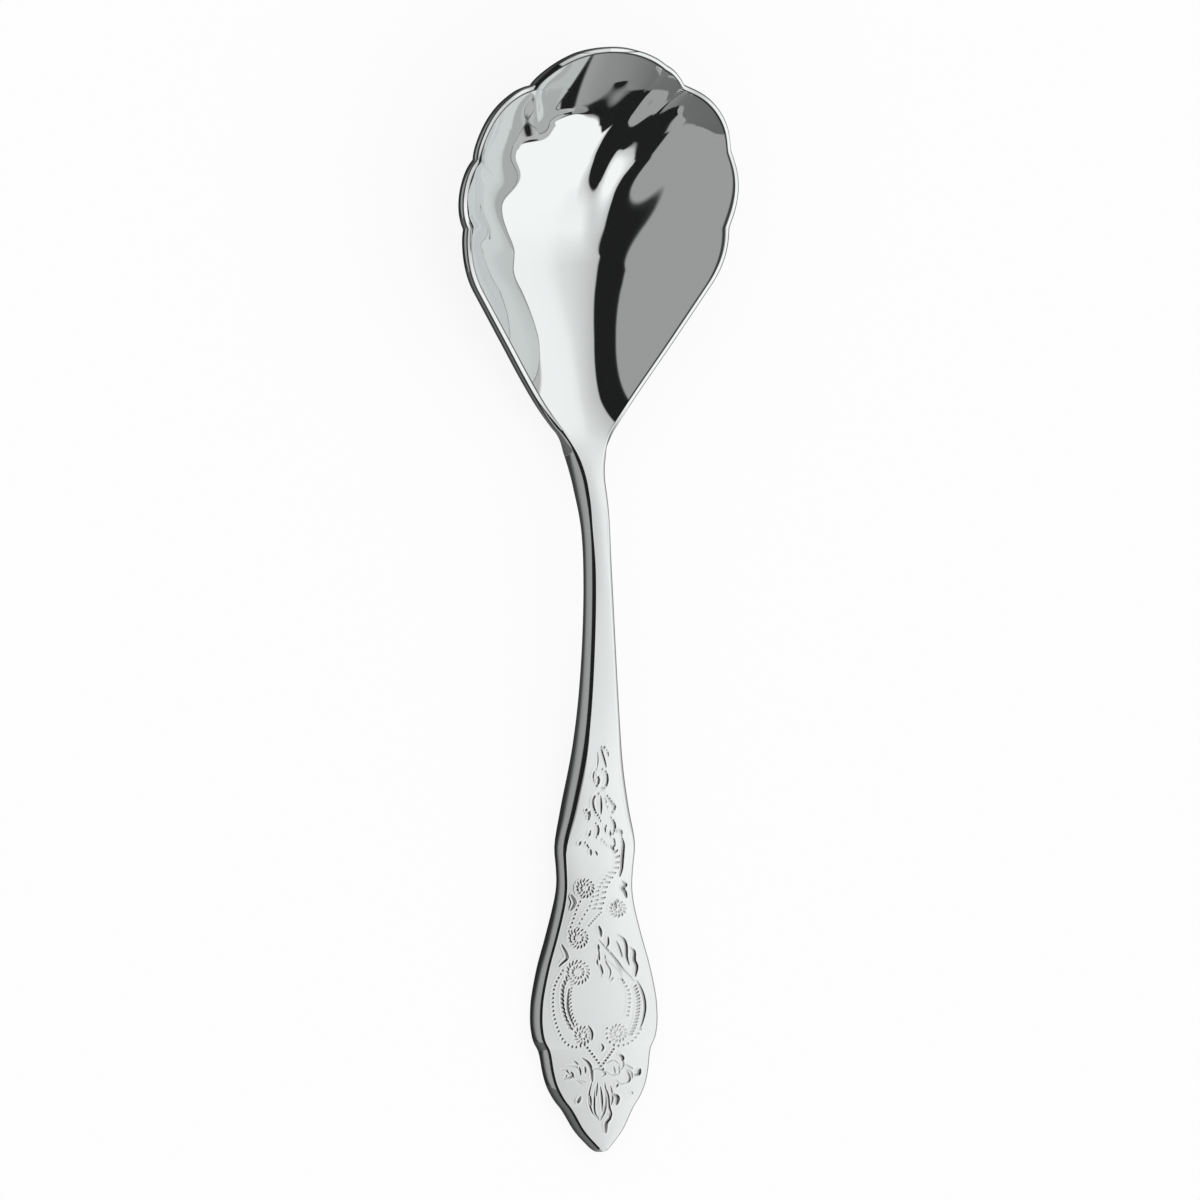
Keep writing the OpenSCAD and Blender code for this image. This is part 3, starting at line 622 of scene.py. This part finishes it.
# Rosettes: weight, centre, and for each ring the radii between which its petals are cut and their number
ROSETTES = [
    (0.7, (584.3, 888), (6.6, 9.6, 15), (3.2, 5.2, 9)), (0.7, (617, 908.5), (5.6, 8.8, 13), (2.4, 4.2, 8)),
    (0.65, (577.5, 938), (7.2, 10.4, 16), (3.4, 5.6, 10)),
    (0.6, (577, 972), (8.8, 12.6, 18), (4.2, 7.0, 12)),
    (0.7, (582, 1035), (6.2, 9.6, 14), (2.6, 4.8, 9)),
    (0.55, (617.3, 1032.8), (6.2, 9.6, 14), (2.4, 4.8, 9)),
]
ROSETTE_TURN, PETAL_SWIRL, PETAL_BEND = 0.2, 0.3, 0.7    # radians, and the share of the swirl at mid length
STROKE_PX, STROKE_MM = 1.2, 0.075                  # half-width in the photograph and depth at a weight of 1
LIP_SHARE, LIP_AWAY, LIP_WIDE = 0.32, 1.8, 0.7     # the metal thrown up beside a stroke
LIP_LOSS = 3                                       # how fast the depth of another stroke takes it away
FINE_SHARE = 0.6                                   # the width that is left to a stroke of no weight
END_SWELL, SWELL_POWER = 0.45, 0.6                 # a stroke's weight at its ends, and how fast it swells
NEAR_PX = 5                                        # how far from a stroke the metal feels it
STEPS_PER_POINT = 3


def rounded(line, count):
    """Points along the smooth line through the given points, by distance."""
    line = np.array(line, float)
    far = np.r_[0, np.cumsum(np.hypot(*np.diff(line, axis=0).T))]
    at = np.linspace(0, far[-1], count)
    return np.stack([curve(list(zip(far, line[:, i])), at) for i in (0, 1)], -1)


def row_of_cuts(weight, count, length, lean, *line):
    """Short strokes across a line; lean is the angle between them and the line, in degrees."""
    way = rounded(line, count)
    ahead = np.gradient(way, axis=0)
    turn = np.arctan2(ahead[:, 1], ahead[:, 0]) + math.radians(lean)
    half = np.stack([np.cos(turn), np.sin(turn)], -1) * length / 2
    return [(weight, tuple(p - h), tuple(p + h)) for p, h in zip(way, half)]


def rosette(weight, centre, *rings):
    """Rings of petals, one inside the other."""
    strokes = []
    for inner, outer, count in rings:
        for k in range(count):
            turn = 2 * math.pi * k / count + ROSETTE_TURN
            swirl = turn + PETAL_SWIRL
            way = ((inner, turn), (mix(inner, outer, 0.5), mix(turn, swirl, PETAL_BEND)), (outer, swirl))
            line = [(centre[0] + r * math.cos(a), centre[1] + r * math.sin(a)) for r, a in way]
            strokes.append((weight, *line))
    return strokes


def all_strokes():
    strokes = TOP_FLOURISH + TOP_LEAF + LONG_SCROLL + LEAF_SPRAY + RIGHT_SCROLL + LEFT_SCROLL
    strokes = strokes + BLOSSOMS + PENDANT + PETALS
    for row in CUT_ROWS:
        strokes = strokes + row_of_cuts(*row)
    for one in ROSETTES:
        strokes = strokes + rosette(*one)
    return strokes


def cut_into(points, top):
    """Depths of the struck pattern and heights of its lips, from 0 to 1, at the points marked in top."""
    seen_x = ORIGIN_PX[0] + PX_PER_MM * (points @ RIGHT)
    seen_y = ORIGIN_PX[1] - PX_PER_MM * (points @ UP)
    depth, lip = np.zeros(points.shape[:2]), np.zeros(points.shape[:2])
    for weight, *line in all_strokes():
        way = rounded(line, STEPS_PER_POINT * (1 + len(line)))
        low, high = way.min(0) - NEAR_PX, way.max(0) + NEAR_PX
        near = top & (seen_x > low[0]) & (seen_x < high[0]) & (seen_y > low[1]) & (seen_y < high[1])
        if not near.any():
            continue
        p = np.stack([seen_x[near], seen_y[near]], -1)
        found, beside = np.zeros(len(p)), np.zeros(len(p))
        for k in range(len(way) - 1):
            ahead = way[k + 1] - way[k]
            s = np.clip((p - way[k]) @ ahead / (ahead @ ahead), 0, 1)
            away = np.hypot(*(p - way[k] - s[:, None] * ahead).T)
            t = (k + s) / (len(way) - 1)
            swell = mix(END_SWELL, 1, np.sin(math.pi * np.clip(t, 0, 1)) ** SWELL_POWER)
            wide = STROKE_PX * mix(FINE_SHARE, 1, weight) * swell
            found = np.maximum(found, weight * swell * np.exp(-((away / wide) ** 2)))
            off = (away / wide - LIP_AWAY) / LIP_WIDE
            beside = np.maximum(beside, weight * swell * np.exp(-(off**2)))
        depth[near] = np.maximum(depth[near], found)
        lip[near] = np.maximum(lip[near], beside)
    return depth, LIP_SHARE * lip * np.clip(1 - LIP_LOSS * depth, 0, 1)


# Painted dark reflections: fine dark lines painted into the metal's colour where its edges would mirror dark
# parts of the studio. On the handle and the shank they are given by column, from the column LINE_FROM across
# the bevel down the wall;
# those low on the wall grow faint along the shank. On the bowl they are given by the distance from its
# outline: one on the rim's outer edge and one inside it.
LINE_FROM, LOW_FROM = 3, 8
# Painted shade of the dark reflection lines on each side, column by column
PAINTED_EDGE_REFLECTIONS = {
    -1: (0, 0, 0, 0, 0, 0, 0, 0.1, 0.5, 0.7, 0.8),
    1: (0.4, 0.85, 0.9, 0.9, 0.9, 0.9, 0.8, 0.5, 0, 0, 0),
}
LOW_SHARE, LOW_FADE = 0.45, 20
# Painted shade of the rim's dark reflection lines, by the distance from the outline in millimetres
PAINTED_RIM_REFLECTIONS = [
    (-0.5, 0.8), (-0.4, 0.75), (-0.33, 0.25), (-0.2, 0), (-0.06, 0.1), (0.03, 0.92), (0.2, 0.92), (0.27, 0),
    (0.6, 0), (0.66, 0.92), (0.78, 0.92), (0.88, 0),
]
RIM_LINE_BEFORE, RIM_LINE_RISE = 2, 6
RIM_LINES_REACH = 1    # the distances that the ramp of painted rim reflections covers, to either side of the outline


def rim_share(at):
    """Rises from 0 to 1 where the rim's painted dark reflections take over from those painted on the shank.
    """
    return smooth_step((at - NECK_Y + RIM_LINE_BEFORE) / RIM_LINE_RISE)


def paint_edge_reflections(at, columns):
    """Painted shade of the points on the dark reflection lines along the edges of the handle and the shank.
    """
    shade = np.zeros((len(at), columns))
    for side in (-1, 1):
        for k, share in enumerate(PAINTED_EDGE_REFLECTIONS[side]):
            low_down = LOW_SHARE if k >= LOW_FROM else 1
            fade = mix(1, low_down, smooth_step((at - SHOULDER_Y) / LOW_FADE)) * (1 - rim_share(at))
            # dark reflections painted into the metal's colour at these columns
            shade[:, SIDE_COLUMNS + side * (FIELD_COLUMNS + LINE_FROM + k)] = share * fade
    return shade


def make_piece(name, points, normals, fields, material):
    """One closed length of the spoon, skinned over its rings, with a flat cap at each end."""
    rows, columns = points.shape[:2]
    i, j = np.meshgrid(np.arange(rows - 1), np.arange(columns), indexing="ij")
    a, b = i * columns + j, i * columns + (j + 1) % columns
    quads = np.stack([a, b, b + columns, a + columns], -1).reshape(-1, 4)
    mesh = bpy.data.meshes.new(name)
    first = list(range(columns - 1, -1, -1))
    last = [(rows - 1) * columns + k for k in range(columns)]
    mesh.from_pydata((points.reshape(-1, 3) * MM).tolist(), [], quads.tolist() + [first, last])
    mesh.shade_smooth()
    mesh.normals_split_custom_set_from_vertices(normals.reshape(-1, 3).tolist())
    for label, values in fields.items():
        attribute = mesh.attributes.new(label, "FLOAT", "POINT")
        attribute.data.foreach_set("value", values.reshape(-1).astype(np.float32))
    mesh.materials.append(material)
    piece = bpy.data.objects.new(name, mesh)
    bpy.context.scene.collection.objects.link(piece)
    return piece


class Socket:
    """A socket of a node tree that turns Python's operators into Math nodes."""

    def __init__(self, tree, out):
        self.tree, self.out = tree, out

    def maths(self, operation, *values):
        return node(self.tree, "ShaderNodeMath", {"operation": operation}, dict(enumerate(values)))[0]

    def __add__(self, other):
        return self.maths("ADD", self, other)

    def __radd__(self, other):
        return self.maths("ADD", other, self)

    def __sub__(self, other):
        return self.maths("SUBTRACT", self, other)

    def __rsub__(self, other):
        return self.maths("SUBTRACT", other, self)

    def __mul__(self, other):
        return self.maths("MULTIPLY", self, other)

    def __rmul__(self, other):
        return self.maths("MULTIPLY", other, self)

    def __truediv__(self, other):
        return self.maths("DIVIDE", self, other)

    def __rtruediv__(self, other):
        return self.maths("DIVIDE", other, self)


def node(tree, kind, settings=None, inputs=None):
    """Adds a node, sets it up and fills its sockets; returns its outputs by place and by name."""
    made = tree.nodes.new(kind)
    for key, value in (settings or {}).items():
        if key == "stops":
            elements = made.color_ramp.elements
            while len(elements) < len(value):
                elements.new(1)
            for element, (position, colour) in zip(elements, value):
                element.position, element.color = position, (*colour, 1)
        else:
            setattr(made, key, value)
    for key, value in (inputs or {}).items():
        if isinstance(value, Socket):
            tree.links.new(value.out, made.inputs[key])
        else:
            made.inputs[key].default_value = value
    found = {i: Socket(tree, out) for i, out in enumerate(made.outputs)}
    found.update({out.name: Socket(tree, out) for out in made.outputs if out.enabled})
    return found


def grey(value):
    return (value, value, value)


def ramp(tree, factor, stops):
    """A colour ramp over stops of (position, grey level)."""
    greys = [(position, grey(level)) for position, level in stops]
    return node(tree, "ShaderNodeValToRGB", {"stops": greys}, {"Fac": factor})["Color"]


def number(colour):
    """The brightness of a colour, for Math nodes."""
    return node(colour.tree, "ShaderNodeRGBToBW", None, {0: colour})[0]


def blend(tree, factor, first, second):
    """The first colour, passing into the second as the factor rises from 0 to 1."""
    return node(tree, "ShaderNodeMix", {"data_type": "RGBA"}, {0: factor, 6: first, 7: second})[2]


# The metal's own colour, the grey in the cuts, and the near-black of the dark reflections painted along the
# edges and the rim
METAL, CUT_GREY, PAINTED_REFLECTION_GREY = (0.955, 0.985, 0.98), (0.42, 0.43, 0.43), (0.06, 0.06, 0.06)
POLISH_ROUGH, HAZE_ROUGH, CUT_ROUGH = 0.025, 0.02, 0.2
HAZE_SCALE, HAZE_DETAIL = 90.0, 3.0


def polished_metal():
    """Polished plate: cool and bright, with a faint haze, greyer and rougher in the cuts, and dark where
    reflections are painted on the edges' lines.
    """
    material = bpy.data.materials.new("polished_plate")
    material.use_nodes = True
    tree = material.node_tree
    tree.nodes.clear()
    where = node(tree, "ShaderNodeTexCoord")["Object"]
    cut = node(tree, "ShaderNodeAttribute", {"attribute_name": "cut_depth"})["Fac"]
    # The shade of the dark reflections painted along the handle's and the shank's edges
    line = node(tree, "ShaderNodeAttribute", {"attribute_name": "line_shade"})["Fac"]
    rim = node(tree, "ShaderNodeAttribute", {"attribute_name": "rim_share"})["Fac"]
    gap = node(tree, "ShaderNodeAttribute", {"attribute_name": "edge_gap"})["Fac"]
    wide = 2 * RIM_LINES_REACH
    # Painted shade of the rim's dark reflections, by the distance from the outline
    painted_rim_reflections = ramp(tree, gap / wide + 0.5, [(at / wide + 0.5, shade) for at, shade in PAINTED_RIM_REFLECTIONS])
    line = line + rim * number(painted_rim_reflections)
    # The metal's colour, greyer in the cuts, darkened where the reflections are painted
    colour = blend(tree, line, blend(tree, cut, (*METAL, 1), (*CUT_GREY, 1)), (*PAINTED_REFLECTION_GREY, 1))
    grain = {"Vector": where, "Scale": HAZE_SCALE, "Detail": HAZE_DETAIL}
    haze = node(tree, "ShaderNodeTexNoise", None, grain)["Fac"]
    rough = POLISH_ROUGH + HAZE_ROUGH * haze + CUT_ROUGH * cut
    surface = {"Base Color": colour, "Metallic": 1.0, "Roughness": rough}
    shader = node(tree, "ShaderNodeBsdfPrincipled", None, surface)
    node(tree, "ShaderNodeOutputMaterial", None, {"Surface": shader["BSDF"]})
    return material


# The studio that the metal mirrors, set so that it mirrors shapes like the photograph's: a white panel
# overhead in a black frame, and grey walls round it. Across the spoon, each row is the angle to the right
# of straight up, in degrees, and a brightness.
BLACK = 0.013
ACROSS = [
    (-180, 0.06), (-140, 0.07), (-133, 0.33), (-15, 0.325), (-14, BLACK), (7.3, BLACK), (8.3, 0.5),
    (18, 0.6), (28, 0.7), (36, 0.82), (42, 0.86), (60, 0.88), (77, 0.88), (80, 0.44), (90, 0.5),
    (96, 0.06), (180, 0.05),
]
# The panel's slanting end, in degrees from straight up towards the handle, by the angle across
PANEL_ENDS = [(-14, 54), (10, 56.7), (24, 56.7), (30, 58.5), (50, 67), (62, 74.5), (70, 77), (80, 77)]
FRAME_SIDES = (-13.7, 80.0)
PANEL_GLOW = 0.93
GLOW_ACROSS, GLOW_DOWN = (8, 20), (2.0, 34.0)     # the panel brightens between these angles
FRAME_BLUR, END_BLUR, WALL_BLUR = 0.5, 1, 1.5     # degrees over which one brightness passes into the next
# The wall on the handle's side, by its direction from the right (0) towards the handle (90) and on to
# the left (180): where it starts, in degrees from straight up, and its brightness
WALL_STARTS = [
    (0, 95), (38, 95), (45, 84), (60, 78), (92, 78), (101, 77), (104, 62), (111, 62), (120, 72),
    (126, 87), (143, 92), (145, 180), (180, 180),
]
WALL_LEVELS = [
    (0, 0.6), (30, 0.52), (46, 0.42), (47, BLACK), (54, BLACK), (55, 0.33), (62, 0.27), (90, 0.16),
    (120, 0.13), (143, 0.13), (145, 0.32), (180, 0.32),
]
# Where the metal mirrors itself, the studio is calmer: this share of an even grey
CALM_SHARE, CALM_LEVEL = 0.75, 0.55
SECOND_BOUNCE = (1.25, 1.75)    # the studio passes to the calmer one between these counts of bounces


def step(tree, value, start, end):
    """Rises from 0 to 1 while value goes from start to end."""
    given = {"Value": value, "From Min": start, "From Max": end}
    return node(tree, "ShaderNodeMapRange", None, given)["Result"]


def studio_light(tree, direction):
    """Brightness that the metal mirrors from a direction."""
    parts = node(tree, "ShaderNodeSeparateXYZ", None, {0: direction})
    x, ahead, z = parts[0], -1 * parts[1], parts[2]
    across = x.maths("ARCTAN2", x, z) * math.degrees(1)
    down = x.maths("ARCTAN2", ahead, z) * math.degrees(1)
    around = x.maths("ARCTAN2", ahead, x) * math.degrees(1)
    seen = ramp(tree, across / 360 + 0.5, [(angle / 360 + 0.5, level) for angle, level in ACROSS])
    left, right = FRAME_SIDES
    in_frame = step(tree, across, left - FRAME_BLUR, left) * step(tree, across, right, right - FRAME_BLUR)
    glow = step(tree, across, *GLOW_ACROSS) * in_frame * step(tree, down, *GLOW_DOWN)
    seen = blend(tree, glow, seen, (*grey(PANEL_GLOW), 1))
    end = ramp(tree, across / 360 + 0.5, [(angle / 360 + 0.5, limit / 180) for angle, limit in PANEL_ENDS])
    past_end = step(tree, down - number(end) * 180, 0, END_BLUR)
    seen = blend(tree, in_frame * past_end, seen, (*grey(BLACK), 1))
    start = ramp(tree, around / 180, [(angle / 180, limit / 180) for angle, limit in WALL_STARTS])
    wall = ramp(tree, around / 180, [(angle / 180, level) for angle, level in WALL_LEVELS])
    on_wall = step(tree, down - number(start) * 180, 0, WALL_BLUR) * step(tree, around, 0, FRAME_BLUR)
    return blend(tree, on_wall, seen, wall)


def make_world():
    """Plain white light all round; only the metal's mirroring shows the studio instead."""
    world = bpy.data.worlds.new("studio")
    bpy.context.scene.world = world
    world.use_nodes = True
    tree = world.node_tree
    tree.nodes.clear()
    direction = node(tree, "ShaderNodeTexCoord")["Generated"]
    mirrored = studio_light(tree, direction)
    path = node(tree, "ShaderNodeLightPath")
    twice = step(tree, path["Glossy Depth"], *SECOND_BOUNCE)
    mirrored = blend(tree, twice * CALM_SHARE, mirrored, (*grey(CALM_LEVEL), 1))
    shown = blend(tree, path["Is Glossy Ray"], (*grey(1), 1), mirrored)
    light = node(tree, "ShaderNodeBackground", None, {"Color": shown, "Strength": 1.0})
    node(tree, "ShaderNodeOutputWorld", None, {"Surface": light["Background"]})


FLOOR_HALF, FLOOR_LEVEL = 400.0, 0.9
SHADOW_SHARE = 0.12     # how much of the floor takes light and shadow; the rest is plain white


def make_floor():
    """A pale floor that the metal doesn't mirror: the studio is what it sees."""
    material = bpy.data.materials.new("pale_floor")
    material.use_nodes = True
    tree = material.node_tree
    tree.nodes.clear()
    lit = node(tree, "ShaderNodeBsdfDiffuse", None, {"Color": (*grey(FLOOR_LEVEL), 1)})["BSDF"]
    plain = node(tree, "ShaderNodeEmission", None, {"Color": (*grey(1), 1), "Strength": 1.0})["Emission"]
    both = node(tree, "ShaderNodeMixShader", None, {0: SHADOW_SHARE, 1: plain, 2: lit})[0]
    node(tree, "ShaderNodeOutputMaterial", None, {"Surface": both})
    mesh = bpy.data.meshes.new("floor")
    r = FLOOR_HALF * MM
    mesh.from_pydata([(-r, -r, 0), (r, -r, 0), (r, r, 0), (-r, r, 0)], [], [(0, 1, 2, 3)])
    mesh.materials.append(material)
    floor = bpy.data.objects.new("floor", mesh)
    floor.visible_glossy = False
    bpy.context.scene.collection.objects.link(floor)


def make_spoon():
    """The handle, the shank and the bowl, cut from one form so that the light runs on over their joints."""
    points, gap = spoon_points()
    columns = points.shape[1]
    top = np.zeros(points.shape[:2], bool)
    top[:, len(WALL_TURNS) + 1:2 * SIDE_COLUMNS - len(WALL_TURNS)] = True
    depth, lip = cut_into(points, top)
    points[..., 2] -= STROKE_MM * (depth - lip)
    normals = point_normals(points)
    metal = polished_metal()
    at = points[:, 0, 1] + TIP_Y / 2
    # The fields carry the cuts' depth and the shade of the dark reflections painted along the edges and the
    # rim
    fields = {
        "cut_depth": depth, "line_shade": paint_edge_reflections(at, columns), "edge_gap": gap,
        "rim_share": np.repeat(rim_share(at)[:, None], columns, 1),
    }
    shoulder, neck = len(HANDLE_YS) - 1, len(HANDLE_YS) + len(SHANK_YS) - 2
    spans = {"handle": (0, shoulder), "shank": (shoulder, neck), "bowl": (neck, len(points) - 1)}
    for name, (start, end) in spans.items():
        part = slice(start, end + 1)
        own = {label: values[part] for label, values in fields.items()}
        piece = make_piece("spoon_" + name, points[part], normals[part], own, metal)
        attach(piece, "root")
        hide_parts(name)


make_world()
make_floor()
make_spoon()

bpy.context.scene.view_settings.view_transform = "Standard"
